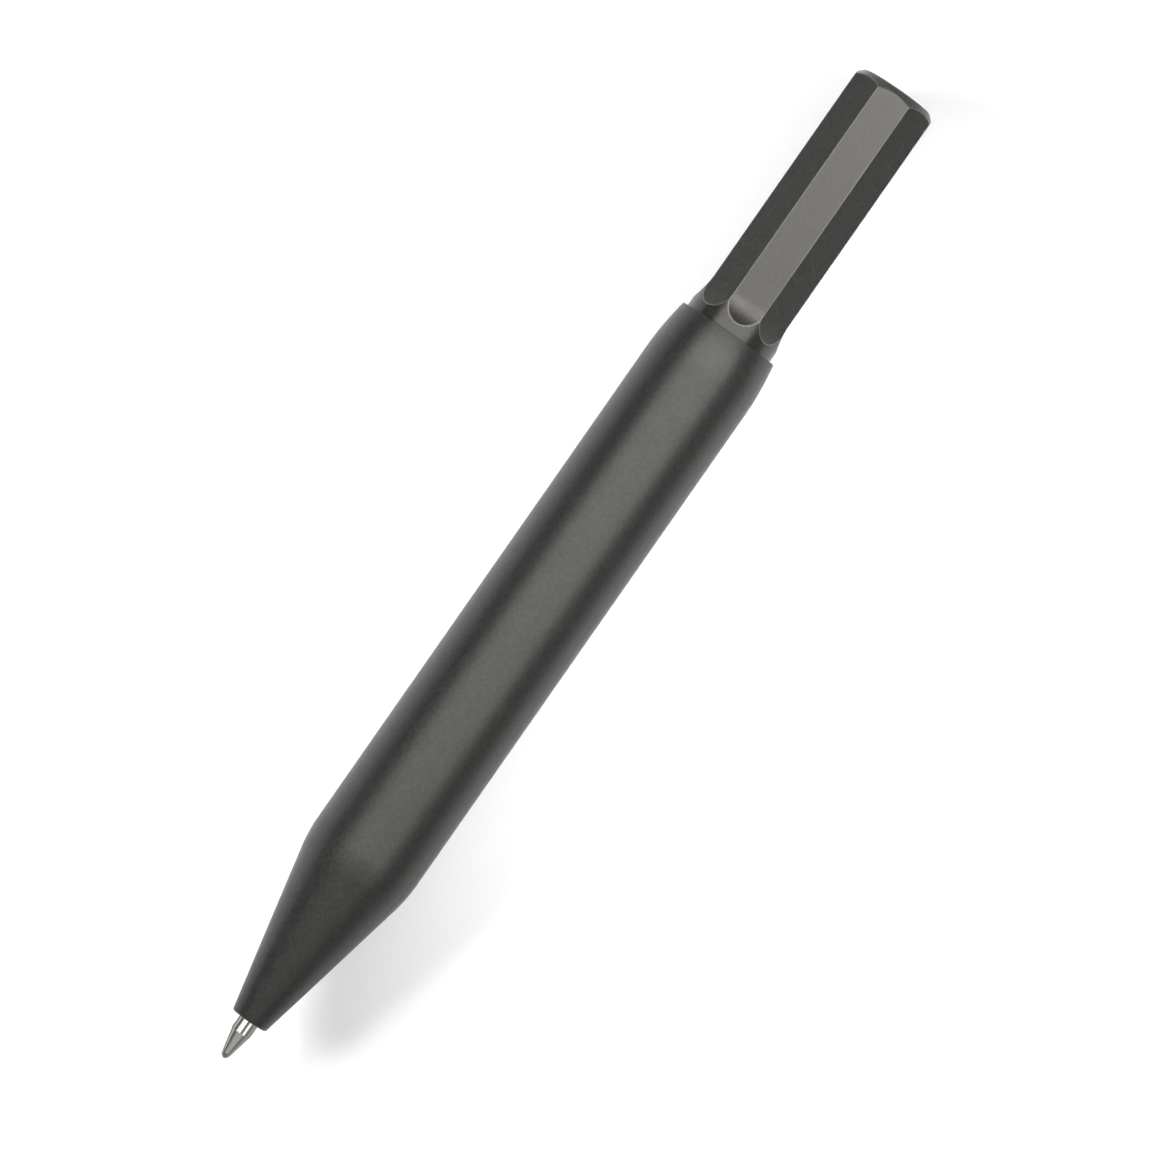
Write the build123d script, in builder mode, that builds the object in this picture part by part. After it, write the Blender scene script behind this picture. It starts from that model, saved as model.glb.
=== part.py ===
"""Retractable ballpoint pen with an octagonal push button, lying along X with its point out at -X."""
import os
from math import cos, pi, radians, sin, sqrt, tan

from build123d import *

os.makedirs("parts", exist_ok=True)

# Travel of the button and refill, from the latched state with the point out
retract_travel = 5.5
press_travel = 1.2

# Clearances shared by the pieces
end_gap = 0.3
seat_gap = 0.02
turning_gap = 0.03
edge_break = 0.15
overrun = 1.0

# Standard long refill
refill_length = 98.1
refill_diameter = 5.9
refill_wall = 0.3
refill_clearance = 0.2
neck_diameter = 3.0
neck_bore_diameter = 1.6
neck_flange = 1.2
neck_clearance = 0.2
spigot_length = 3.5
air_length = 16.2
plug_flange = 1.5
plug_vent_diameter = 1.2
plug_notch_count = 6
plug_notch_depth = 0.8
plug_notch_width = 0.9
plug_notch_reach = 1.2

# Writing point and ball
ball_diameter = 0.7
ball_clearance = 0.02
lip_setback = 0.22
lip_wall = 0.05
crimp_length = 0.35
crimp_flare = 0.12
point_diameter = 2.22
point_cone_length = 3.1
point_step = 0.06
point_shank_length = 3.0
point_feed_diameter = 0.4

# Return spring in the nose, drawn compressed as it is with the point out
wire_diameter = 0.4
wire_sides = 8
spring_length = 7.7
spring_turns = 7
spring_inner_clearance = 0.3
spring_clearance = 0.2
spring_end_gap = 0.05

# Click mechanism
tube_wall = 0.45
sleeve_step = 0.1
sleeve_wall = 0.48
stop_depth = 0.6
cam_clearance = 0.1
cam_count = 4
channel_angle = 24
rib_angle = 20
tooth_gap = 0.05
crown_gap = 0.05
crown_wall = 0.7
foot_length = 1.5
core_drop = 0.5
rotor_rib_length = 3.0
rotor_spigot_length = 1.8
plunger_rib_length = 1.6
stem_diameter = 3.0
stem_clearance = 0.08
stem_seat_length = 3.2
ring_length = 1.4
bush_wall = 0.8
bush_length = 8.0
bush_lip = 1.0
bush_slot_width = 1.2
bush_slot_depth = 0.8

# Octagonal button
button_bore_clearance = 0.1
button_wall = 0.89
button_end_wall = 5.2
flat_count = 8
flat_depth = 0.5
runout_radius = 9.4
collar_height = 1.2
skirt_length = 13.6
skirt_chamfer = 0.3
crown_chamfer = 1.15
crown_edge_radius = 0.6
groove_setback = 1.6
groove_length = 3.0
groove_depth = 0.6
guide_ring_proud = 0.02
guide_ring_split = 1.2

# Barrel
barrel_length = 86.93
button_clearance = 0.05
rim_wall = 0.5
shoulder_drop = 0.51
shoulder_length = 3.62
shoulder_blend_radius = 27.0
nose_length = 19.7
nose_wall = 0.9
nose_blend_radius = 15.0
point_reach = 4.69
point_clearance = 0.09
front_hole_length = 1.6
neck_guide_length = 3.2

# Radii, from the refill outwards to the barrel
refill_radius = refill_diameter / 2
ink_radius = refill_radius - refill_wall
refill_bore_radius = refill_radius + refill_clearance
sleeve_seat_radius = refill_bore_radius + sleeve_step
tube_radius = sleeve_seat_radius + tube_wall
button_bore_radius = tube_radius + button_bore_clearance
flat_distance = button_bore_radius + button_wall
collar_radius = flat_distance + flat_depth
counterbore_radius = collar_radius + button_clearance
rim_radius = counterbore_radius + rim_wall
barrel_radius = rim_radius + shoulder_drop
bush_radius = tube_radius + seat_gap + bush_wall

# Radii of the click mechanism, from the sleeve inwards
sleeve_radius = sleeve_seat_radius - seat_gap
channel_radius = sleeve_radius - sleeve_wall
sleeve_bore_radius = channel_radius - stop_depth
rib_radius = channel_radius - cam_clearance
plunger_radius = sleeve_bore_radius - cam_clearance
plunger_bore_radius = plunger_radius - crown_wall
spigot_radius = plunger_bore_radius - cam_clearance
stem_radius = stem_diameter / 2

# Radii of the point and nose
ball_radius = ball_diameter / 2
point_radius = point_diameter / 2
neck_radius = neck_diameter / 2
wire_radius = wire_diameter / 2
front_hole_radius = point_radius + point_clearance
nose_radius = front_hole_radius + nose_wall
neck_hole_radius = neck_radius + neck_clearance
coil_radius = neck_radius + spring_inner_clearance + wire_radius
spring_hole_radius = coil_radius + wire_radius + spring_clearance

# Saw teeth: just steep enough for the rotor's ribs to clear them with the button pressed home
tooth_pitch = 360 / (2 * cam_count)
tooth_middle = (channel_angle - tooth_pitch) / 2
crown_middle = -tooth_middle
rib_rise = rib_radius * sin(radians(rib_angle / 2 + crown_middle))
tooth_fall = channel_radius * sin(radians(tooth_pitch / 2))
tooth_slope = (press_travel - cam_clearance) / (rib_rise + tooth_fall)

# Stations along the pen, counted from the point's end
neck_from_tip = point_reach + front_hole_length + press_travel + end_gap
sleeve_from_tip = refill_length + retract_travel + end_gap
tooth_from_tip = sleeve_from_tip + foot_length + end_gap + tooth_slope * tooth_fall
crown_rise = 2 * tooth_slope * rib_radius * sin(radians(crown_middle))
crown_from_tip = tooth_from_tip - tooth_gap + crown_rise + crown_gap
rib_end_from_tip = crown_from_tip + plunger_rib_length
sleeve_end_from_tip = rib_end_from_tip + retract_travel + end_gap
tube_end_from_tip = sleeve_end_from_tip + ring_length
button_bore_from_tip = tube_end_from_tip + press_travel + end_gap
overall_length = button_bore_from_tip + button_end_wall

# The same stations in the pen's frame, whose origin is under the middle of its length
tip_x = -overall_length / 2
nose_x = tip_x + point_reach
rim_x = nose_x + barrel_length
end_x = tip_x + overall_length
hole_end_x = nose_x + front_hole_length
spring_seat_x = hole_end_x + neck_guide_length
shoulder_x = spring_seat_x + spring_length
refill_bore_x = shoulder_x - press_travel - end_gap
neck_x = tip_x + neck_from_tip
refill_end_x = tip_x + refill_length
sleeve_x = tip_x + sleeve_from_tip
tooth_x = tip_x + tooth_from_tip
crown_x = tip_x + crown_from_tip
rib_end_x = tip_x + rib_end_from_tip
sleeve_end_x = tip_x + sleeve_end_from_tip
tube_end_x = tip_x + tube_end_from_tip
button_bore_x = tip_x + button_bore_from_tip
skirt_x = rim_x - skirt_length
counterbore_x = skirt_x - press_travel - end_gap
bush_x = counterbore_x - bush_length
tube_x = bush_x + bush_lip

# The pen lies on its barrel, so its axis is one barrel radius up
axis_height = barrel_radius
pen_axis = Axis((0, 0, axis_height), (1, 0, 0))


def side_plane(angle=0):
    """Plane through the pen's axis: x runs along the pen and y out from it, turned about the axis."""
    return Plane(origin=(0, 0, axis_height), x_dir=(1, 0, 0), z_dir=(0, -1, 0)).rotated((angle, 0, 0))


def cross_plane(station):
    """Plane square to the pen's axis, facing its button, with angles counted from straight up."""
    return Plane(origin=(station, 0, axis_height), x_dir=(0, 0, 1), z_dir=(1, 0, 0))


def sector_points(radius, angle):
    """Corners of a straight-ended sector from the axis, wide enough to cover the radius."""
    half_width = radius * tan(radians(angle / 2))
    return (0, 0), (radius, -half_width), (radius, half_width)


def ribbed_section(station, core_radius, outer_radius, angle):
    """Section of a round core with one rib for each channel of the cam sleeve."""
    with BuildSketch(cross_plane(station)) as section:
        Circle(core_radius)
        with PolarLocations(0, cam_count):
            Polygon(*sector_points(outer_radius + overrun, angle))
        Circle(outer_radius, mode=Mode.INTERSECT)
    return section.sketch


def tooth_sectors(station, radius, middle_angle, keep):
    """Sectors of one tooth each, cut off along the teeth's slant on the side that is kept."""
    reach = tooth_x - sleeve_x + overrun
    slant = Plane(origin=(station, 0, axis_height), x_dir=(0, 0, 1), z_dir=(1, tooth_slope, 0))
    with BuildPart() as sector:
        with BuildSketch(cross_plane(station - reach)):
            Polygon(*sector_points(radius + overrun, tooth_pitch))
            Circle(radius, mode=Mode.INTERSECT)
        extrude(amount=2 * reach)
        split(bisect_by=slant, keep=keep)
    return [sector.part.rotate(pen_axis, middle_angle + i * tooth_pitch) for i in range(2 * cam_count)]


# Barrel: one turned shell with a conical nose, a shouldered rim and stepped bores
with BuildPart() as barrel:
    with BuildSketch(side_plane()):
        with BuildLine():
            FilletPolyline(
                (nose_x, front_hole_radius),
                (nose_x, nose_radius - edge_break),
                (nose_x + edge_break, nose_radius),
                (nose_x + nose_length, barrel_radius),
                (rim_x - shoulder_length, barrel_radius),
                (rim_x - edge_break, rim_radius),
                (rim_x, rim_radius - edge_break),
                (rim_x, counterbore_radius),
                radius=(0, 0, nose_blend_radius, shoulder_blend_radius, 0, 0),
            )
            Polyline(
                (rim_x, counterbore_radius),
                (counterbore_x, counterbore_radius),
                (counterbore_x, bush_radius + seat_gap),
                (bush_x, bush_radius + seat_gap),
                (bush_x, refill_bore_radius),
                (refill_bore_x, refill_bore_radius),
                (refill_bore_x, spring_hole_radius),
                (spring_seat_x, spring_hole_radius),
                (spring_seat_x, neck_hole_radius),
                (hole_end_x, neck_hole_radius),
                (hole_end_x, front_hole_radius),
                (nose_x, front_hole_radius),
            )
        make_face()
    revolve(axis=pen_axis)
barrel.part.label = "barrel"
export_step(barrel.part, "parts/barrel.step")

# Threaded bush: screwed into the barrel from the rear, slotted for a driver, carries the mechanism's tube
with BuildPart() as thread_bush:
    with BuildSketch(side_plane()):
        with BuildLine():
            Polyline(
                (bush_x, refill_bore_radius),
                (bush_x, bush_radius),
                (counterbore_x, bush_radius),
                (counterbore_x, tube_radius + seat_gap),
                (tube_x, tube_radius + seat_gap),
                (tube_x, refill_bore_radius),
                close=True,
            )
        make_face()
    revolve(axis=pen_axis)
    with BuildSketch(cross_plane(counterbore_x)):
        Rectangle(2 * bush_radius + overrun, bush_slot_width)
    extrude(amount=-bush_slot_depth, mode=Mode.SUBTRACT)
thread_bush.part.label = "thread_bush"
export_step(thread_bush.part, "parts/thread_bush.step")

# Mechanism tube: thin drawn tube, stepped inside to seat the cam sleeve
with BuildPart() as mechanism_tube:
    with BuildSketch(side_plane()):
        with BuildLine():
            Polyline(
                (tube_x, refill_bore_radius),
                (tube_x, tube_radius),
                (tube_end_x, tube_radius),
                (tube_end_x, sleeve_seat_radius),
                (sleeve_x, sleeve_seat_radius),
                (sleeve_x, refill_bore_radius),
                close=True,
            )
        make_face()
    revolve(axis=pen_axis)
mechanism_tube.part.label = "mechanism_tube"
export_step(mechanism_tube.part, "parts/mechanism_tube.step")

# Cam sleeve: channels for the ribs between stops, whose front ends are saw teeth inside a plain mouth
sleeve_tooth_gaps = tooth_sectors(tooth_x, channel_radius, tooth_middle, Keep.BOTTOM)
with BuildPart() as cam_sleeve:
    with BuildSketch(cross_plane(sleeve_x)):
        Circle(sleeve_radius)
    extrude(amount=sleeve_end_x - sleeve_x)
    channels = ribbed_section(sleeve_x, sleeve_bore_radius, channel_radius, channel_angle)
    extrude(channels, amount=sleeve_end_x - sleeve_x, mode=Mode.SUBTRACT)
    add(sleeve_tooth_gaps, mode=Mode.SUBTRACT)
cam_sleeve.part.label = "cam_sleeve"
export_step(cam_sleeve.part, "parts/cam_sleeve.step")

# Retaining ring: closes the tube behind the sleeve and guides the plunger's stem
with BuildPart() as retaining_ring:
    with BuildSketch(cross_plane(sleeve_end_x)):
        Circle(sleeve_radius)
        Circle(stem_radius + stem_clearance, mode=Mode.SUBTRACT)
    extrude(amount=ring_length)
retaining_ring.part.label = "retaining_ring"
export_step(retaining_ring.part, "parts/retaining_ring.step")

# Cam rotor: stands on the refill's end, with ribs whose slanted tops seat in the sleeve's teeth
rotor_foot_x = refill_end_x + turning_gap
rotor_top_x = tooth_x - tooth_gap
rib_tops = tooth_sectors(rotor_top_x, rib_radius + cam_clearance, tooth_middle, Keep.TOP)
with BuildPart() as cam_rotor:
    with BuildSketch(cross_plane(rotor_foot_x)):
        Circle(rib_radius)
    extrude(amount=foot_length)
    with BuildSketch(cross_plane(rotor_foot_x)):
        Circle(plunger_radius)
    extrude(amount=rotor_top_x - core_drop - rotor_foot_x)
    ribs = ribbed_section(rotor_top_x - rotor_rib_length, spigot_radius, rib_radius, rib_angle)
    extrude(ribs, amount=rotor_rib_length + rib_rise)
    add(rib_tops, mode=Mode.SUBTRACT)
    with BuildSketch(cross_plane(rotor_foot_x)):
        Circle(spigot_radius)
    extrude(amount=rotor_top_x + rotor_spigot_length - rotor_foot_x)
cam_rotor.part.label = "cam_rotor"
export_step(cam_rotor.part, "parts/cam_rotor.step")

# Plunger: stem pressed into the button, with ribs in the channels and a saw-toothed crown
crown_drop = tooth_slope * rib_radius
crown_gaps = tooth_sectors(crown_x, rib_radius + cam_clearance, crown_middle, Keep.BOTTOM)
stem_end_x = button_bore_x + stem_seat_length
with BuildPart() as plunger:
    crown = ribbed_section(crown_x - crown_drop, plunger_radius, rib_radius, rib_angle)
    extrude(crown, amount=crown_drop + plunger_rib_length)
    add(crown_gaps, mode=Mode.SUBTRACT)
    with BuildSketch(cross_plane(rib_end_x)):
        Circle(stem_radius)
    extrude(amount=stem_end_x - rib_end_x)
    with BuildSketch(cross_plane(crown_x - crown_drop)):
        Circle(plunger_bore_radius)
    extrude(amount=rotor_top_x + rotor_spigot_length + end_gap - (crown_x - crown_drop), mode=Mode.SUBTRACT)
plunger.part.label = "plunger"
export_step(plunger.part, "parts/plunger.step")

# Push button: turned blank with a skirt in the barrel, then eight flats milled to curved run-outs
groove_x = skirt_x + groove_setback
groove_radius = collar_radius - groove_depth
runout_turn = (runout_radius - flat_depth) / runout_radius
runout_length = runout_radius * sqrt(1 - runout_turn**2)
runout_x = rim_x + collar_height + runout_length
with BuildPart() as push_button:
    with BuildSketch(side_plane()):
        with BuildLine():
            FilletPolyline(
                (skirt_x, button_bore_radius),
                (skirt_x, collar_radius - skirt_chamfer),
                (skirt_x + skirt_chamfer, collar_radius),
                (end_x - crown_chamfer, collar_radius),
                (end_x, collar_radius - crown_chamfer),
                (end_x, 0),
                radius=(0, 0, crown_edge_radius, crown_edge_radius),
            )
            Polyline(
                (end_x, 0),
                (stem_end_x, 0),
                (stem_end_x, stem_radius + seat_gap),
                (button_bore_x, stem_radius + seat_gap),
                (button_bore_x, button_bore_radius),
                (skirt_x, button_bore_radius),
            )
        make_face()
    revolve(axis=pen_axis)
    with BuildSketch(side_plane()):
        with Locations((groove_x + groove_length / 2, groove_radius)):
            Rectangle(groove_length, groove_depth + overrun, align=(Align.CENTER, Align.MIN))
    revolve(axis=pen_axis, mode=Mode.SUBTRACT)
    for flat in range(flat_count):
        with BuildSketch(side_plane(flat * 360 / flat_count)):
            with BuildLine():
                floor = Line((end_x + overrun, flat_distance), (runout_x, flat_distance))
                runout = JernArc(floor @ 1, floor % 1, runout_radius, -90)
                Polyline(runout @ 1, (end_x + overrun, flat_distance + runout_radius), floor @ 0)
            make_face()
    extrude(amount=collar_radius, both=True, mode=Mode.SUBTRACT)
push_button.part.label = "push_button"
export_step(push_button.part, "parts/push_button.step")

# Guide ring: split polymer ring in the skirt's groove, a little proud of the skirt
with BuildPart() as guide_ring:
    with BuildSketch(cross_plane(groove_x + seat_gap)):
        Circle(collar_radius + guide_ring_proud)
        Circle(groove_radius + seat_gap, mode=Mode.SUBTRACT)
        with Locations((-collar_radius, 0)):
            Rectangle(2 * groove_depth + overrun, guide_ring_split, mode=Mode.SUBTRACT)
    extrude(amount=groove_length - 2 * seat_gap)
guide_ring.part.label = "guide_ring"
export_step(guide_ring.part, "parts/guide_ring.step")

# Refill tube: drawn metal tube between the neck's flange and the end plug
refill_tube_x = shoulder_x + neck_flange
plug_x = refill_end_x - plug_flange
with BuildPart() as refill_tube:
    with BuildSketch(cross_plane(refill_tube_x)):
        Circle(refill_radius)
        Circle(ink_radius, mode=Mode.SUBTRACT)
    extrude(amount=plug_x - refill_tube_x)
refill_tube.part.label = "refill_tube"
export_step(refill_tube.part, "parts/refill_tube.step")

# Refill neck: narrow ferrule that holds the point, with a flange for the spring and a spigot in the tube
point_end_x = neck_x + point_shank_length
neck_end_x = refill_tube_x + spigot_length
with BuildPart() as refill_neck:
    with BuildSketch(side_plane()):
        with BuildLine():
            Polyline(
                (neck_x, point_radius + seat_gap),
                (neck_x, neck_radius),
                (shoulder_x, neck_radius),
                (shoulder_x, refill_radius),
                (refill_tube_x, refill_radius),
                (refill_tube_x, ink_radius - seat_gap),
                (neck_end_x, ink_radius - seat_gap),
                (neck_end_x, neck_bore_diameter / 2),
                (point_end_x, neck_bore_diameter / 2),
                (point_end_x, point_radius + seat_gap),
                close=True,
            )
        make_face()
    revolve(axis=pen_axis)
refill_neck.part.label = "refill_neck"
export_step(refill_neck.part, "parts/refill_neck.step")

# Refill point: turned cone with a crimped lip round the ball and a feed hole behind it
ball_x = tip_x + ball_radius
socket_radius = ball_radius + ball_clearance
lip_x = tip_x + lip_setback
lip_radius = sqrt(socket_radius**2 - (ball_x - lip_x) ** 2) + lip_wall
cone_end_x = tip_x + point_cone_length
with BuildPart() as refill_point:
    with BuildSketch(side_plane()):
        with BuildLine():
            Polyline(
                (lip_x, 0),
                (lip_x, lip_radius),
                (lip_x + crimp_length, lip_radius + crimp_flare),
                (cone_end_x, point_radius - point_step),
                (cone_end_x + point_step, point_radius),
                (point_end_x, point_radius),
                (point_end_x, 0),
                close=True,
            )
        make_face()
    revolve(axis=pen_axis)
    with Locations((ball_x, 0, axis_height)):
        Sphere(socket_radius, mode=Mode.SUBTRACT)
    with BuildSketch(cross_plane(ball_x)):
        Circle(point_feed_diameter / 2)
    extrude(amount=point_end_x - ball_x, mode=Mode.SUBTRACT)
refill_point.part.label = "refill_point"
export_step(refill_point.part, "parts/refill_point.step")

# Writing ball: rolls in the point's socket
with BuildPart() as writing_ball:
    with Locations((ball_x, 0, axis_height)):
        Sphere(ball_radius)
writing_ball.part.label = "writing_ball"
export_step(writing_ball.part, "parts/writing_ball.step")

# Ink: fills the neck's bore and the tube up to an air space in front of the end plug
neck_ink_radius = neck_bore_diameter / 2 - seat_gap
ink_end_x = plug_x - spigot_length - air_length
with BuildPart() as ink_column:
    with BuildSketch(side_plane()):
        with BuildLine():
            Polyline(
                (point_end_x, 0),
                (point_end_x, neck_ink_radius),
                (neck_end_x, neck_ink_radius),
                (neck_end_x, ink_radius - seat_gap),
                (ink_end_x, ink_radius - seat_gap),
                (ink_end_x, 0),
                close=True,
            )
        make_face()
    revolve(axis=pen_axis)
ink_column.part.label = "ink_column"
export_step(ink_column.part, "parts/ink_column.step")

# End plug: vented polymer plug, castellated where the rotor stands on it
with BuildPart() as refill_end_plug:
    with BuildSketch(cross_plane(plug_x)):
        Circle(refill_radius)
    extrude(amount=plug_flange)
    with BuildSketch(cross_plane(plug_x)):
        Circle(ink_radius - seat_gap)
    extrude(amount=-spigot_length)
    with BuildSketch(cross_plane(refill_end_x)):
        with PolarLocations(refill_radius, plug_notch_count):
            Rectangle(2 * plug_notch_reach, plug_notch_width)
    extrude(amount=-plug_notch_depth, mode=Mode.SUBTRACT)
    with BuildSketch(cross_plane(refill_end_x)):
        Circle(plug_vent_diameter / 2)
    extrude(amount=-plug_flange - spigot_length, mode=Mode.SUBTRACT)
refill_end_plug.part.label = "refill_end_plug"
export_step(refill_end_plug.part, "parts/refill_end_plug.step")

# Return spring: one wire coil on half-turn biarcs, between its seat in the nose and the neck's flange
half_count = 2 * spring_turns
coil_start_x = spring_seat_x + spring_end_gap + wire_radius
coil_pitch = (spring_length - 2 * spring_end_gap - wire_diameter) / spring_turns


def coil_point(turn):
    """Point of the wire's middle line after a number of turns from straight up."""
    angle = 2 * pi * turn
    across = -coil_radius * sin(angle)
    return Vector(coil_start_x + coil_pitch * turn, across, axis_height + coil_radius * cos(angle))


def coil_direction(turn):
    """Direction of the wire there."""
    angle = 2 * pi * turn
    sweep_length = 2 * pi * coil_radius
    return Vector(coil_pitch, -sweep_length * cos(angle), -sweep_length * sin(angle)).normalized()


with BuildPart() as return_spring:
    with BuildLine() as coil:
        for half in range(half_count):
            start, end = coil_point(half / 2), coil_point((half + 1) / 2)
            start_way, end_way = coil_direction(half / 2), coil_direction((half + 1) / 2)
            chord, ways = end - start, start_way + end_way
            lean = chord.dot(ways)
            slack = 4 - ways.dot(ways)
            arm = (sqrt(lean**2 + slack * chord.dot(chord)) - lean) / slack
            start_corner, end_corner = start + start_way * arm, end - end_way * arm
            middle = (start_corner + end_corner) / 2
            TangentArc(start, middle, tangent=start_way)
            TangentArc(middle, end, tangent=end_corner - start_corner)
    with BuildSketch(Plane(origin=coil_point(0), z_dir=coil_direction(0))):
        RegularPolygon(wire_radius, wire_sides)
    sweep(path=coil.line)
return_spring.part.label = "return_spring"
export_step(return_spring.part, "parts/return_spring.step")

samples_per_turn = 24
coil_samples = [coil_point(i / samples_per_turn) for i in range(samples_per_turn * spring_turns + 1)]
coil_gap = min(
    (coil_samples[i] - coil_samples[j]).length - wire_diameter
    for i in range(len(coil_samples))
    for j in range(i + samples_per_turn // 2, len(coil_samples))
)
print(f"overall length {overall_length:.2f} mm, barrel diameter {2 * barrel_radius:.2f} mm")
print(f"least gap between spring turns {coil_gap:.2f} mm")
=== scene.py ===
from math import asin, cos, pi, radians, sin, sqrt

import bmesh
import bpy
from mathutils import Matrix, Vector


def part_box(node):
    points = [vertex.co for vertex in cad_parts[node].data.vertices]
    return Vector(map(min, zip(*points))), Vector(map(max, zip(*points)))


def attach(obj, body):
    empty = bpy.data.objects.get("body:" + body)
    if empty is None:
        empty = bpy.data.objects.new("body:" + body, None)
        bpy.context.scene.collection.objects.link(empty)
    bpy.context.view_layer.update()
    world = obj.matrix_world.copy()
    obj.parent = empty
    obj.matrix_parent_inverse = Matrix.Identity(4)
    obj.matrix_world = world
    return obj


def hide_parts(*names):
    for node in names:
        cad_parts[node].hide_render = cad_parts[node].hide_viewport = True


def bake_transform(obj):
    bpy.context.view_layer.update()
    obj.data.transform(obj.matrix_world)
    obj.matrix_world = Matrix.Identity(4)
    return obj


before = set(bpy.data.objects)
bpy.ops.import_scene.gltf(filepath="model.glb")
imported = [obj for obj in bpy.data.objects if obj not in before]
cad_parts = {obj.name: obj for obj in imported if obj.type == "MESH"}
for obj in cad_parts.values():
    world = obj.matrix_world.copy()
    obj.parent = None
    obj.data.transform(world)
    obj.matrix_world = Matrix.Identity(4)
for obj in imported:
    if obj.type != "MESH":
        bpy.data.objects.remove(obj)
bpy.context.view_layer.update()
scene = bpy.context.scene
scene.view_settings.view_transform = "Standard"

# Writing ball: tungsten carbide, ground and polished, with a thin film of ink on it.
# It rolls in the point's socket, and the point's crimped lip holds it there.
mm = 0.001
ball_low, ball_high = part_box("writing_ball")
ball_centre = (ball_low + ball_high) / 2
ball_radius = (ball_high.z - ball_low.z) / 2
ball_segments = 48
ball_rings = 24
axis_height = ball_centre.z
carbide_grey = (0.36, 0.36, 0.37)
carbide_roughness = 0.2
polished_roughness = 0.12
ink_film_grey = (0.10, 0.10, 0.11)
ink_film_roughness = 0.30
ink_film_patch = 0.5 * mm
noise_low = 0.35
noise_high = 0.65
weld_distance = 0.00001 * mm
sharp_angle = radians(10)


def new_material(name, colour, metallic, roughness):
    """Material with a principled shader, set to one colour to begin with."""
    material = bpy.data.materials.new(name)
    material.use_nodes = True
    shader = material.node_tree.nodes["Principled BSDF"]
    shader.inputs["Base Color"].default_value = (*colour, 1)
    shader.inputs["Metallic"].default_value = metallic
    shader.inputs["Roughness"].default_value = roughness
    return material, shader


def noise_on(material, size, stretch=(1, 1, 1), detail=4):
    """Noise over the piece in its own coordinates, with spots of a given size, closer together along
    the axes that stretch gives more than 1. Most of it lies between noise_low and noise_high."""
    tree = material.node_tree
    place = tree.nodes.new("ShaderNodeTexCoord")
    mapping = tree.nodes.new("ShaderNodeMapping")
    mapping.inputs["Scale"].default_value = stretch
    noise = tree.nodes.new("ShaderNodeTexNoise")
    noise.inputs["Scale"].default_value = 1 / size
    noise.inputs["Detail"].default_value = detail
    tree.links.new(place.outputs["Object"], mapping.inputs["Vector"])
    tree.links.new(mapping.outputs["Vector"], noise.inputs["Vector"])
    return noise.outputs["Fac"]


def tint(material, shader, pattern, dark, light):
    """Base colour that runs from dark to light along a pattern."""
    tree = material.node_tree
    ramp = tree.nodes.new("ShaderNodeValToRGB")
    first, last = ramp.color_ramp.elements
    first.position = noise_low
    first.color = (*dark, 1)
    last.position = noise_high
    last.color = (*light, 1)
    tree.links.new(pattern, ramp.inputs["Fac"])
    tree.links.new(ramp.outputs["Color"], shader.inputs["Base Color"])


def vary_roughness(material, shader, pattern, first, last):
    """Roughness that runs from a first value to a last one along a pattern."""
    tree = material.node_tree
    spread = tree.nodes.new("ShaderNodeMapRange")
    spread.inputs["From Min"].default_value = noise_low
    spread.inputs["From Max"].default_value = noise_high
    spread.inputs["To Min"].default_value = first
    spread.inputs["To Max"].default_value = last
    tree.links.new(pattern, spread.inputs["Value"])
    tree.links.new(spread.outputs["Result"], shader.inputs["Roughness"])


def emboss(material, shader, pattern, depth):
    """Fine relief along a pattern."""
    tree = material.node_tree
    bump = tree.nodes.new("ShaderNodeBump")
    bump.inputs["Distance"].default_value = depth
    tree.links.new(pattern, bump.inputs["Height"])
    tree.links.new(bump.outputs["Normal"], shader.inputs["Normal"])


def finish_piece(name, maker, material, node, crisp_edges=(), smooth_angle=sharp_angle):
    """Turns a bmesh into an object that stands for a CAD node."""
    bmesh.ops.remove_doubles(maker, verts=maker.verts, dist=weld_distance)
    bmesh.ops.recalc_face_normals(maker, faces=maker.faces)
    for face in maker.faces:
        face.smooth = True
    for edge in maker.edges:
        edge.smooth = edge.calc_face_angle(0) < smooth_angle
    for edge in crisp_edges:
        edge.smooth = False
    mesh = bpy.data.meshes.new(name)
    maker.to_mesh(mesh)
    maker.free()
    mesh.materials.append(material)
    piece = bpy.data.objects.new(name, mesh)
    scene.collection.objects.link(piece)
    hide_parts(node)
    return piece


carbide, carbide_shader = new_material("ball carbide", carbide_grey, 1, carbide_roughness)
ink_film = noise_on(carbide, ink_film_patch)
tint(carbide, carbide_shader, ink_film, ink_film_grey, carbide_grey)
vary_roughness(carbide, carbide_shader, ink_film, ink_film_roughness, polished_roughness)
ball_maker = bmesh.new()
bmesh.ops.create_uvsphere(ball_maker, u_segments=ball_segments, v_segments=ball_rings, radius=ball_radius)
bmesh.ops.translate(ball_maker, verts=ball_maker.verts, vec=ball_centre)
ball = finish_piece("ball_ground", ball_maker, carbide, "writing_ball")
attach(ball, "ball")

# Point: nickel silver rod, turned to a cone with a small step behind it, bored for the ink and crimped
# round the ball. Its plain shank is pressed into the refill's neck.
point_low, point_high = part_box("refill_point")
point_radius = (point_high.z - point_low.z) / 2
point_segments = 96
point_step = 0.06 * mm
point_cone_length = 3.1 * mm
feed_radius = 0.20 * mm
socket_clearance = 0.02 * mm
socket_radius = ball_radius + socket_clearance
socket_steps = 12
lip_wall = 0.05 * mm
lip_radius = sqrt(socket_radius**2 - (ball_centre.x - point_low.x)**2)
crimp_length = 0.35 * mm
crimp_flare = 0.12 * mm
lip_rounding = 0.02 * mm
crimp_rounding = 0.03 * mm
rounding_segments = 8
nickel_grey = (0.31, 0.305, 0.29)
nickel_dark = (0.25, 0.245, 0.23)
nickel_edge = (0.2, 0.2, 0.2)
nickel_roughness = 0.07
nickel_line = 0.4 * mm
round_the_axis = (12, 1, 1)
along_the_axis = (0.05, 1, 1)
tool_line_depth = 0.0002 * mm
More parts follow.
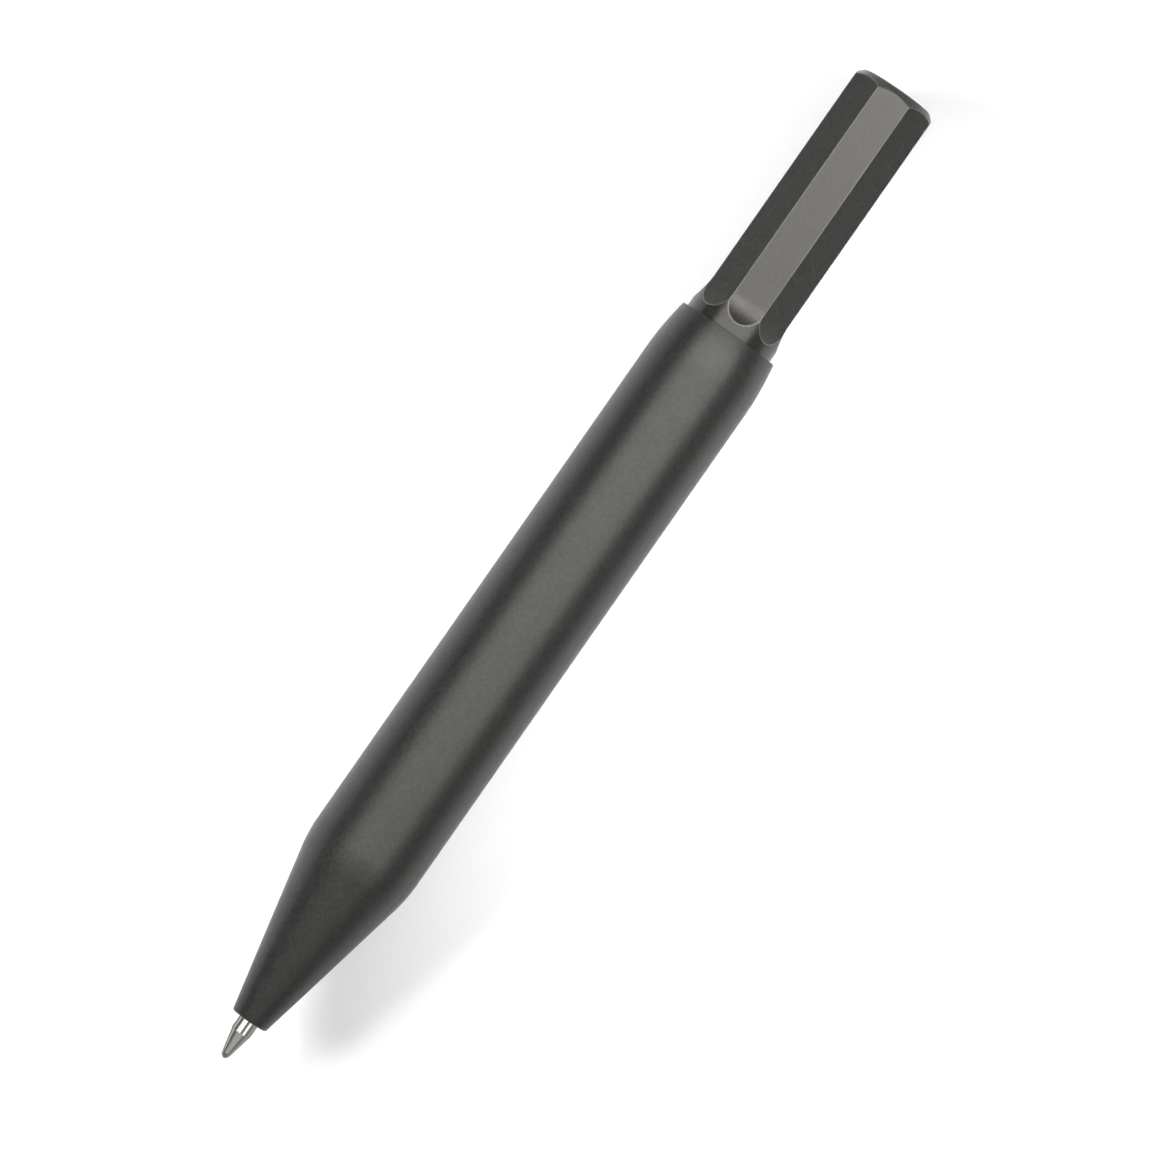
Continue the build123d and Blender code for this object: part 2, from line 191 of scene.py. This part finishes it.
tool_line_share = 0.2


def turned(outline, roundings, segments):
    """Piece turned on the pen's axis from a closed outline of (station, radius) corners. Roundings gives
    some corners, by number, the length that the rounding takes on each side."""
    maker = bmesh.new()
    points = [maker.verts.new((station, 0, axis_height + radius)) for station, radius in outline]
    for number, (station, radius) in enumerate(outline):
        lies_on_axis = radius == 0 and outline[number - 1][1] == 0
        if not lies_on_axis:
            maker.edges.new((points[number - 1], points[number]))
    for number, length in roundings.items():
        bmesh.ops.bevel(
            maker, geom=[points[number]], offset=length, offset_type="OFFSET", segments=rounding_segments,
            profile=0.5, affect="VERTICES", material=-1,
        )
    bmesh.ops.spin(
        maker, geom=maker.verts[:] + maker.edges[:], cent=(0, 0, axis_height), axis=(1, 0, 0), angle=2 * pi,
        steps=segments, use_merge=True,
    )
    return maker


def machined_metal(name, dark, light, roughness, line_width, stretch):
    """Bare metal with fine tool lines: stretch sets which way they run."""
    material, shader = new_material(name, light, 1, roughness)
    lines = noise_on(material, line_width, stretch)
    tint(material, shader, lines, dark, light)
    smoothest = (1 - tool_line_share) * roughness
    roughest = (1 + tool_line_share) * roughness
    vary_roughness(material, shader, lines, smoothest, roughest)
    emboss(material, shader, lines, tool_line_depth)
    return material


nickel = machined_metal(
    "turned nickel silver", nickel_dark, nickel_grey, nickel_roughness, nickel_line, round_the_axis
)
nickel.node_tree.nodes["Principled BSDF"].inputs["Specular Tint"].default_value = (*nickel_edge, 1)
cone_end = ball_low.x + point_cone_length
point_outline = [
    (point_low.x, lip_radius + lip_wall),
    (point_low.x + crimp_length, lip_radius + lip_wall + crimp_flare),
    (cone_end, point_radius - point_step),
    (cone_end + point_step, point_radius),
    (point_high.x, point_radius),
    (point_high.x, feed_radius),
]
feed_angle = asin(feed_radius / socket_radius)
lip_angle = pi - asin(lip_radius / socket_radius)
for step in range(socket_steps + 1):
    angle = feed_angle + (lip_angle - feed_angle) * step / socket_steps
    point_outline.append((ball_centre.x + socket_radius * cos(angle), socket_radius * sin(angle)))
point_maker = turned(point_outline, {0: lip_rounding, 1: crimp_rounding}, point_segments)
point = finish_piece("point_turned", point_maker, nickel, "refill_point")
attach(point, "refill")

# Refill neck: turned brass ferrule pressed into the front of the ink tube. It holds the point, and its
# flange takes the spring's push.
brass_light = (0.75, 0.58, 0.28)
brass_dark = (0.58, 0.42, 0.17)
neck_roughness = 0.25
neck_line = 0.5 * mm


def dress(node, material):
    """Gives a CAD node its finish."""
    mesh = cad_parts[node].data
    mesh.materials.clear()
    mesh.materials.append(material)


neck_brass = machined_metal(
    "refill brass", brass_dark, brass_light, neck_roughness, neck_line, round_the_axis
)
dress("refill_neck", neck_brass)

# Ink: thick black paste that fills the tube from the neck to a little short of its rear end.
# It wets the wall, so it is glossy, with slow swirls.
ink_black = (0.010, 0.010, 0.016)
ink_blue_black = (0.022, 0.022, 0.040)
ink_roughness = 0.1
ink_smoothest = 0.06
ink_roughest = 0.16
swirl_size = 3 * mm
swirl_detail = 6
ink, ink_shader = new_material("writing ink", ink_black, 0, ink_roughness)
ink_swirl = noise_on(ink, swirl_size, detail=swirl_detail)
tint(ink, ink_shader, ink_swirl, ink_black, ink_blue_black)
vary_roughness(ink, ink_shader, ink_swirl, ink_smoothest, ink_roughest)
dress("ink_column", ink)

# Refill tube: drawn steel tube, brushed lengthwise by the drawing die, with the neck and the end plug
# pressed into its ends.
steel_light = (0.62, 0.62, 0.63)
steel_dark = (0.55, 0.55, 0.56)
steel_roughness = 0.3
steel_line = 0.3 * mm
drawn_steel = machined_metal(
    "drawn refill steel", steel_dark, steel_light, steel_roughness, steel_line, along_the_axis
)
dress("refill_tube", drawn_steel)

# End plug: black moulded polymer, pressed into the tube's rear end, with a castellated rim and a vent
# that lets air follow the ink.
plug_black = (0.035, 0.035, 0.036)
plug_grey = (0.060, 0.060, 0.062)
plug_roughness = 0.5
flow_size = 2.5 * mm
flow_detail = 5
skin_size = 0.12 * mm
skin_detail = 2
skin_depth = 0.004 * mm
skin_spread = 0.06


def moulded(name, dark, light, roughness):
    """Satin moulded polymer with a fine spark-eroded skin and slow cloudiness from its flow."""
    material, shader = new_material(name, light, 0, roughness)
    flow = noise_on(material, flow_size, detail=flow_detail)
    skin = noise_on(material, skin_size, detail=skin_detail)
    tint(material, shader, flow, dark, light)
    vary_roughness(material, shader, skin, roughness - skin_spread, roughness + skin_spread)
    emboss(material, shader, skin, skin_depth)
    return material


dress("refill_end_plug", moulded("plug polymer", plug_black, plug_grey, plug_roughness))

# Return spring: hard-drawn steel wire, coiled over the neck with a close turn at each end. It stands
# between the seat in the barrel's nose and the neck's flange, and is built here as one fixed coil.
spring_low, spring_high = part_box("return_spring")
wire_radius = 0.2 * mm
wire_sides = 16
wire_smoothness = radians(40)
coil_radius = (spring_high.z - spring_low.z) / 2 - wire_radius
coil_steps = 36
close_turns = 1
close_pitch = 0.43 * mm
open_turns = 5
close_length = close_turns * close_pitch
open_pitch = (spring_high.x - spring_low.x - 2 * wire_radius - 2 * close_length) / open_turns
wire_light = (0.66, 0.66, 0.67)
wire_dark = (0.42, 0.41, 0.40)
wire_roughness = 0.25
wire_smoothest = 0.18
wire_roughest = 0.34
die_mark_size = 0.25 * mm
die_mark_stretch = (0.4, 1, 1)
die_mark_detail = 6
spring_wire, wire_shader = new_material("spring wire", wire_light, 1, wire_roughness)
die_marks = noise_on(spring_wire, die_mark_size, die_mark_stretch, die_mark_detail)
tint(spring_wire, wire_shader, die_marks, wire_dark, wire_light)
vary_roughness(spring_wire, wire_shader, die_marks, wire_smoothest, wire_roughest)
spring_maker = bmesh.new()
bmesh.ops.create_circle(spring_maker, cap_ends=False, radius=wire_radius, segments=wire_sides)
bmesh.ops.rotate(spring_maker, verts=spring_maker.verts, matrix=Matrix.Rotation(pi / 2, 3, "X"))
wire_start = (spring_low.x + wire_radius, 0, axis_height + coil_radius)
bmesh.ops.translate(spring_maker, verts=spring_maker.verts, vec=wire_start)
section = spring_maker.verts[:] + spring_maker.edges[:]
for turns, pitch in ((close_turns, close_pitch), (open_turns, open_pitch), (close_turns, close_pitch)):
    section = bmesh.ops.spin(
        spring_maker, geom=section, cent=(0, 0, axis_height), axis=(1, 0, 0),
        dvec=(pitch / coil_steps, 0, 0), angle=2 * pi * turns, steps=coil_steps * turns,
    )["geom_last"]
bmesh.ops.holes_fill(spring_maker, edges=spring_maker.edges, sides=0)
spring = finish_piece(
    "spring_coiled", spring_maker, spring_wire, "return_spring", smooth_angle=wire_smoothness
)
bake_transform(spring)

# Barrel: one piece of aluminium bar, turned outside to a straight body with a conical nose and a
# drawn-in shoulder, bored in steps from the rear, then bead-blasted and black anodised.
barrel_low, barrel_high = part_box("barrel")
bush_low, bush_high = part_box("thread_bush")
nose_station, rim_station = barrel_low.x, barrel_high.x
barrel_radius = axis_height
barrel_segments = 192
nose_length = 19.7 * mm
nose_radius = 2.10 * mm
nose_edge = 0.15 * mm
edge_rounding = 0.06 * mm
nose_blend = 1.574 * mm
shoulder_length = 3.62 * mm
shoulder_blend = 1.97 * mm
rim_radius = 5.72 * mm
rim_rounding = 0.05 * mm
button_bore_radius = 5.24 * mm
bush_bore_radius = 4.54 * mm
refill_bore_radius = 3.15 * mm
spring_bore_radius = 2.40 * mm
spring_bore_length = 6.2 * mm
neck_bore_radius = 1.70 * mm
neck_bore_length = 3.2 * mm
front_hole_radius = 1.20 * mm
front_hole_length = 1.6 * mm
neck_bore_station = nose_station + front_hole_length
spring_seat_station = neck_bore_station + neck_bore_length
refill_bore_station = spring_seat_station + spring_bore_length
barrel_satin = 0.38
barrel_index = 1.50
barrel_warmth = (1, 1, 0.955)
oxide_dark = (0.001, 0.001, 0.001)
oxide_light = (0.009, 0.009, 0.009)
speckle_size = 0.35 * mm
speckle_detail = 3
cloud_size = 1.6 * mm
cloud_detail = 5
cloud_spread = 0.02
blast_size = 0.16 * mm
blast_detail = 2
blast_depth = 0.003 * mm
# Lighter grey on the button's rounded edges: partly wear, partly a painted highlight along them.
wear_and_highlight_grey = (0.064, 0.063, 0.060)


def blasted_black(name, index, warmth, satin):
    """Bead-blasted, black dyed oxide on aluminium: nearly all that shows is its satin reflection, with a
    fine grain. Where the mesh marks an edge, a lighter grey shows: partly bare metal from wear, partly a
    painted highlight along the edge."""
    material, shader = new_material(name, oxide_light, 0, satin)
    shader.inputs["IOR"].default_value = index
    shader.inputs["Specular Tint"].default_value = (*warmth, 1)
    speckle = noise_on(material, speckle_size, detail=speckle_detail)
    tint(material, shader, speckle, oxide_dark, oxide_light)
    cloud = noise_on(material, cloud_size, detail=cloud_detail)
    vary_roughness(material, shader, cloud, satin - cloud_spread, satin + cloud_spread)
    blast = noise_on(material, blast_size, detail=blast_detail)
    emboss(material, shader, blast, blast_depth)
    tree = material.node_tree
    # Marked edges get the lighter grey, which is partly wear and partly a painted highlight.
    wear_and_highlight = tree.nodes.new("ShaderNodeAttribute")
    wear_and_highlight.attribute_name = "wear_and_highlight"
    wear_and_highlight_mix = tree.nodes.new("ShaderNodeMix")
    wear_and_highlight_mix.data_type = "RGBA"
    # The mix node's colour sockets follow those that it keeps for numbers and vectors.
    black_colour, grey_colour, mixed_colour = wear_and_highlight_mix.inputs[6], wear_and_highlight_mix.inputs[7], wear_and_highlight_mix.outputs[2]
    grey_colour.default_value = (*wear_and_highlight_grey, 1)
    tree.links.new(wear_and_highlight.outputs["Fac"], wear_and_highlight_mix.inputs["Factor"])
    tree.links.new(shader.inputs["Base Color"].links[0].from_socket, black_colour)
    tree.links.new(mixed_colour, shader.inputs["Base Color"])
    return material


barrel_black = blasted_black("black anodised barrel", barrel_index, barrel_warmth, barrel_satin)
barrel_outline = [
    (nose_station, front_hole_radius),
    (nose_station, nose_radius - nose_edge),
    (nose_station + nose_edge, nose_radius),
    (nose_station + nose_length, barrel_radius),
    (rim_station - shoulder_length, barrel_radius),
    (rim_station, rim_radius),
    (rim_station, button_bore_radius),
    (bush_high.x, button_bore_radius),
    (bush_high.x, bush_bore_radius),
    (bush_low.x, bush_bore_radius),
    (bush_low.x, refill_bore_radius),
    (refill_bore_station, refill_bore_radius),
    (refill_bore_station, spring_bore_radius),
    (spring_seat_station, spring_bore_radius),
    (spring_seat_station, neck_bore_radius),
    (neck_bore_station, neck_bore_radius),
    (neck_bore_station, front_hole_radius),
]
barrel_roundings = {1: edge_rounding, 2: edge_rounding, 3: nose_blend, 4: shoulder_blend, 5: rim_rounding}
barrel_maker = turned(barrel_outline, barrel_roundings, barrel_segments)
barrel = finish_piece("barrel_shell", barrel_maker, barrel_black, "barrel")
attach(barrel, "barrel")

# Thread bush: turned brass, screwed into the barrel's bore from the rear by its slot. It carries the
# click mechanism's tube.
bush_roughness = 0.22
bush_line = 0.4 * mm
bush_brass = machined_metal(
    "turned brass", brass_dark, brass_light, bush_roughness, bush_line, round_the_axis
)
dress("thread_bush", bush_brass)

# Mechanism tube: thin drawn brass tube, pressed into the bush, which holds the click mechanism in line.
# A turned brass ring is pressed into its rear end and closes it.
tube_roughness = 0.2
tube_line = 0.25 * mm
tube_brass = machined_metal(
    "drawn brass", brass_dark, brass_light, tube_roughness, tube_line, along_the_axis
)
dress("mechanism_tube", tube_brass)
dress("retaining_ring", bush_brass)

# Cam sleeve: white moulded polymer, pressed into the tube, with guide channels and the slanted stop
# teeth on which the rotor latches.
sleeve_white = (0.80, 0.80, 0.77)
sleeve_shade = (0.70, 0.70, 0.66)
sleeve_roughness = 0.45
dress("cam_sleeve", moulded("sleeve polymer", sleeve_shade, sleeve_white, sleeve_roughness))

# Rotor and plunger: grey moulded polymer. The plunger's crown of teeth pushes on the rotor's slanted
# ribs and turns it one step at each press.
cam_light = (0.50, 0.50, 0.50)
cam_dark = (0.40, 0.40, 0.41)
cam_roughness = 0.42
cam_polymer = moulded("cam polymer", cam_dark, cam_light, cam_roughness)
dress("cam_rotor", cam_polymer)
dress("plunger", cam_polymer)

# Guide ring: split ring of black moulded polymer, sprung into the groove of the button's skirt, so that
# the button slides in the barrel without rattle.
ring_roughness = 0.45
dress("guide_ring", moulded("ring polymer", plug_black, plug_grey, ring_roughness))

# Push button: aluminium bar, turned and bored, with eight flats milled along it that run out in curves
# above the collar. It is blasted and black anodised like the barrel, and its edges are rounded and painted
# a lighter grey, partly as wear and partly as a painted highlight.
button_low, button_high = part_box("push_button")
stem_end_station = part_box("plunger")[1].x
skirt_station, end_station = button_low.x, button_high.x
collar_radius = (button_high.y - button_low.y) / 2
collar_height = 1.2 * mm
button_segments = 192
skirt_chamfer = 0.3 * mm
groove_setback = 1.6 * mm
groove_length = 3.0 * mm
groove_depth = 0.6 * mm
crown_chamfer = 1.15 * mm
crown_rounding = 0.2485 * mm
button_end_wall = 5.2 * mm
hollow_radius = 3.80 * mm
stem_seat_radius = 1.52 * mm
flat_count = 8
flat_depth = 0.5 * mm
runout_radius = 9.4 * mm
runout_steps = 20
overrun = 1.0 * mm
sliver_length = 0.004 * mm
# Rounding on the button's outside edges, which is painted lighter: partly wear, partly a painted highlight.
wear_and_highlight_width = 0.075 * mm
wear_and_highlight_segments = 2
wear_and_highlight_angle = radians(12)
button_satin = 0.27
button_index = 1.51
button_warmth = (1, 0.97, 0.91)
flat_distance = collar_radius - flat_depth
collar_station = rim_station + collar_height
groove_station = skirt_station + groove_setback


def plain_object(name, maker):
    """Object with no finish, made from a bmesh."""
    mesh = bpy.data.meshes.new(name)
    maker.to_mesh(mesh)
    maker.free()
    plain = bpy.data.objects.new(name, mesh)
    scene.collection.objects.link(plain)
    return plain


def octagonal_form():
    """Eight-sided form, as wide as the flats towards the button's end, whose sides curve outwards above
    the collar as the milling cutter leaves the bar."""
    maker = bmesh.new()
    bmesh.ops.create_circle(
        maker, cap_ends=False, radius=flat_distance / cos(pi / flat_count), segments=flat_count
    )
    upright = Matrix.Rotation(pi / 2, 3, "Y") @ Matrix.Rotation(pi / flat_count, 3, "Z")
    bmesh.ops.rotate(maker, verts=maker.verts, matrix=upright)
    last_station, last_distance = end_station + overrun, flat_distance
    bmesh.ops.translate(maker, verts=maker.verts, vec=(last_station, 0, axis_height))
    runout_depth = flat_depth + overrun / 2
    runout_reach = sqrt(runout_radius**2 - (runout_radius - runout_depth)**2)
    runout_station = collar_station + sqrt(runout_radius**2 - (runout_radius - flat_depth)**2)
    rings = [(runout_station, flat_distance)]
    for step in range(1, runout_steps + 1):
        back = runout_reach * step / runout_steps
        rise = runout_radius - sqrt(runout_radius**2 - back**2)
        rings.append((runout_station - back, flat_distance + rise))
    rings.append((skirt_station - overrun, collar_radius + overrun))
    rim = maker.edges[:]
    for station, distance in rings:
        grown = bmesh.ops.extrude_edge_only(maker, edges=rim)["geom"]
        moved = [item for item in grown if isinstance(item, bmesh.types.BMVert)]
        rim = [item for item in grown if isinstance(item, bmesh.types.BMEdge)]
        widen = distance / last_distance
        bmesh.ops.translate(maker, verts=moved, vec=(station - last_station, 0, 0))
        bmesh.ops.scale(
            maker, verts=moved, vec=(1, widen, widen), space=Matrix.Translation((0, 0, -axis_height))
        )
        last_station, last_distance = station, distance
    bmesh.ops.holes_fill(maker, edges=maker.edges, sides=0)
    bmesh.ops.recalc_face_normals(maker, faces=maker.faces)
    return maker


button_outline = [
    (skirt_station, hollow_radius),
    (skirt_station, collar_radius - skirt_chamfer),
    (skirt_station + skirt_chamfer, collar_radius),
    (groove_station, collar_radius),
    (groove_station, collar_radius - groove_depth),
    (groove_station + groove_length, collar_radius - groove_depth),
    (groove_station + groove_length, collar_radius),
    (end_station - crown_chamfer, collar_radius),
    (end_station, collar_radius - crown_chamfer),
    (end_station, 0),
    (stem_end_station, 0),
    (stem_end_station, stem_seat_radius),
    (end_station - button_end_wall, stem_seat_radius),
    (end_station - button_end_wall, hollow_radius),
]
blank_maker = turned(button_outline, {7: crown_rounding, 8: crown_rounding}, button_segments)
bmesh.ops.remove_doubles(blank_maker, verts=blank_maker.verts, dist=weld_distance)
bmesh.ops.recalc_face_normals(blank_maker, faces=blank_maker.faces)
blank = plain_object("button_blank", blank_maker)
form = plain_object("button_form", octagonal_form())
milling = blank.modifiers.new("flats", "BOOLEAN")
milling.operation = "INTERSECT"
milling.solver = "EXACT"
milling.object = form
milled = bpy.data.meshes.new_from_object(blank.evaluated_get(bpy.context.evaluated_depsgraph_get()))
button_maker = bmesh.new()
button_maker.from_mesh(milled)
for working in (blank, form):
    bpy.data.objects.remove(working)
bpy.data.meshes.remove(milled)


def outside(vert):
    """Whether a point is on the button's outside, above the barrel's rim."""
    axis_point = Vector((vert.co.x, 0, axis_height))
    return vert.co.x > rim_station and (vert.co - axis_point).length > hollow_radius


bmesh.ops.remove_doubles(button_maker, verts=button_maker.verts, dist=sliver_length)
wear_and_highlight_layer = button_maker.faces.layers.float.new("wear_and_highlight")
milled_edges = [
    edge for edge in button_maker.edges
    if edge.calc_face_angle(0) > wear_and_highlight_angle and outside(edge.verts[0]) and outside(edge.verts[1])
]
broken = bmesh.ops.bevel(
    button_maker, geom=milled_edges, offset=wear_and_highlight_width, offset_type="OFFSET", segments=wear_and_highlight_segments,
    profile=0.5, affect="EDGES", clamp_overlap=False, material=-1,
)
# The rounded edges are marked for the lighter grey, which is partly wear and partly a painted highlight.
for face in broken["faces"]:
    face[wear_and_highlight_layer] = 1
wear_and_highlight_borders = [
    edge for face in broken["faces"] for edge in face.edges
    if any(neighbour[wear_and_highlight_layer] == 0 for neighbour in edge.link_faces)
]
button_black = blasted_black("black anodised button", button_index, button_warmth, button_satin)
button = finish_piece(
    "button_milled", button_maker, button_black, "push_button", wear_and_highlight_borders
)
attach(button, "button")

# Floor: plain white card under the pen, which keeps its soft shadow. It is lifted to white for the eye
# and for reflections only, more away from the pen, where the lamps don't reach, so it throws no more
# light on the pen.
floor_size = 6
card_white = (0.85, 0.85, 0.85)
card_roughness = 0.9
near_lift = 0.225
far_lift = 0.66
near_reach = 0.06
far_reach = 0.16
floor_maker = bmesh.new()
bmesh.ops.create_grid(floor_maker, x_segments=1, y_segments=1, size=floor_size)
floor = plain_object("floor", floor_maker)
card, card_shader = new_material("white card", card_white, 0, card_roughness)
card_shader.inputs["Specular IOR Level"].default_value = 0
card_shader.inputs["Emission Color"].default_value = (1, 1, 1, 1)
card_tree = card.node_tree
card_place = card_tree.nodes.new("ShaderNodeTexCoord")
reach = card_tree.nodes.new("ShaderNodeVectorMath")
reach.operation = "LENGTH"
card_tree.links.new(card_place.outputs["Object"], reach.inputs[0])
lift = card_tree.nodes.new("ShaderNodeMapRange")
lift.interpolation_type = "SMOOTHSTEP"
lift.inputs["From Min"].default_value = near_reach
lift.inputs["From Max"].default_value = far_reach
lift.inputs["To Min"].default_value = near_lift
lift.inputs["To Max"].default_value = far_lift
card_tree.links.new(reach.outputs["Value"], lift.inputs["Value"])
card_rays = card_tree.nodes.new("ShaderNodeLightPath")
seen = card_rays.outputs["Is Camera Ray"]
for ray in ("Is Glossy Ray", "Is Transmission Ray"):
    either = card_tree.nodes.new("ShaderNodeMath")
    either.operation = "MAXIMUM"
    card_tree.links.new(seen, either.inputs[0])
    card_tree.links.new(card_rays.outputs[ray], either.inputs[1])
    seen = either.outputs[0]
seen_lift = card_tree.nodes.new("ShaderNodeMath")
seen_lift.operation = "MULTIPLY"
card_tree.links.new(seen, seen_lift.inputs[0])
card_tree.links.new(lift.outputs["Result"], seen_lift.inputs[1])
card_tree.links.new(seen_lift.outputs[0], card_shader.inputs["Emission Strength"])
floor.data.materials.append(card)

# Studio: a white room, brighter on the right, with a row of panels overhead that only reflections show.
# Over the point the row has a gap, which the shank shows as a dark line. A lamp on the left throws the
# nose's shadow to the right, and a spot on the right clears the shadow along the barrel and the button.
room_light = 0.42
left_wall_shine = 0.42
right_wall_shine = 0.58
panel_height = 0.36
panel_side = 0.35
front_start = -0.31
front_end = -0.10
middle_start = -0.072
middle_end = 0.09
rear_end = 0.18
gap_left = 0.01
gap_right = -0.17
gap_panel_side = 0.50
front_shine = 0.68
middle_shine = 3.25
rear_shine = 7.3
panels = {
    "front panel": (front_start, front_end, -panel_side, panel_side, front_shine),
    "middle panel": (middle_start, middle_end, -panel_side, panel_side, middle_shine),
    "rear panel": (middle_end, rear_end, -panel_side, panel_side, rear_shine),
    "left gap panel": (front_end, middle_start, gap_left, gap_panel_side, middle_shine),
    "right gap panel": (front_end, middle_start, -gap_panel_side, gap_right, middle_shine),
}
lamp_place = (-0.115, 0.27, 0.20)
lamp_aim = (-0.045, 0, 0)
lamp_side = 0.14
lamp_power = 1.6
spot_place = (0.12, -0.16, 0.22)
spot_aim = (0.020, -0.028, 0)
spot_power = 3.3
spot_angle = radians(27)
spot_edge_share = 0.7
spot_radius = 0.02
world = bpy.data.worlds.new("studio")
scene.world = world
world.use_nodes = True
room_tree = world.node_tree
room = room_tree.nodes["Background"]
room.inputs["Color"].default_value = (1, 1, 1, 1)
towards = room_tree.nodes.new("ShaderNodeTexCoord")
sideways = room_tree.nodes.new("ShaderNodeSeparateXYZ")
room_tree.links.new(towards.outputs["Generated"], sideways.inputs["Vector"])
walls = room_tree.nodes.new("ShaderNodeMapRange")
walls.inputs["From Min"].default_value = -1
walls.inputs["To Min"].default_value = right_wall_shine
walls.inputs["To Max"].default_value = left_wall_shine
room_tree.links.new(sideways.outputs["Y"], walls.inputs["Value"])
# The eye sees the room white, reflections see its walls, and the pen and the floor get its light.
room_rays = room_tree.nodes.new("ShaderNodeLightPath")
backdrop = room_tree.nodes.new("ShaderNodeMapRange")
room_tree.links.new(walls.outputs["Result"], backdrop.inputs["To Min"])
room_tree.links.new(room_rays.outputs["Is Camera Ray"], backdrop.inputs["Value"])
strength = room_tree.nodes.new("ShaderNodeMapRange")
strength.inputs["To Max"].default_value = room_light
room_tree.links.new(backdrop.outputs["Result"], strength.inputs["To Min"])
room_tree.links.new(room_rays.outputs["Is Diffuse Ray"], strength.inputs["Value"])
room_tree.links.new(strength.outputs["Result"], room.inputs["Strength"])


def aimed(name, lamp, place, aim):
    """Holder for a lamp, aimed at a point and not seen by the camera."""
    holder = bpy.data.objects.new(name, lamp)
    holder.location = place
    holder.rotation_euler = (Vector(aim) - Vector(place)).to_track_quat("-Z", "Y").to_euler()
    holder.visible_camera = False
    scene.collection.objects.link(holder)
    return holder


def softbox(name, place, aim, width, depth, power):
    """Rectangular lamp."""
    lamp = bpy.data.lights.new(name, "AREA")
    lamp.shape = "RECTANGLE"
    lamp.size = width
    lamp.size_y = depth
    lamp.energy = power
    return aimed(name, lamp, place, aim)


for panel_name, (start, end, right, left, shine) in panels.items():
    width, depth = end - start, left - right
    middle = ((start + end) / 2, (left + right) / 2)
    power = shine * pi * width * depth
    panel = softbox(panel_name, (*middle, panel_height), (*middle, 0), width, depth, power)
    panel.visible_diffuse = False
left_lamp = softbox("left lamp", lamp_place, lamp_aim, lamp_side, lamp_side, lamp_power)
left_lamp.visible_glossy = False
spot = bpy.data.lights.new("right spot", "SPOT")
spot.energy = spot_power
spot.spot_size = spot_angle
spot.spot_blend = spot_edge_share
spot.shadow_soft_size = spot_radius
right_spot = aimed("right spot", spot, spot_place, spot_aim)
right_spot.visible_glossy = False

# Camera: straight above the pen with a long lens, turned so that the pen lies across the picture with
# its point at the lower left.
view_width = 120.43 * mm
view_centre = (0.70 * mm, -1.99 * mm)
view_turn = radians(-55.08)
camera_distance = 0.8
camera_data = bpy.data.cameras.new("camera")
camera_data.lens = camera_data.sensor_width * camera_distance / view_width
camera = bpy.data.objects.new("camera", camera_data)
camera.location = (*view_centre, axis_height + camera_distance)
camera.rotation_euler = (0, 0, view_turn)
scene.collection.objects.link(camera)
scene.camera = camera
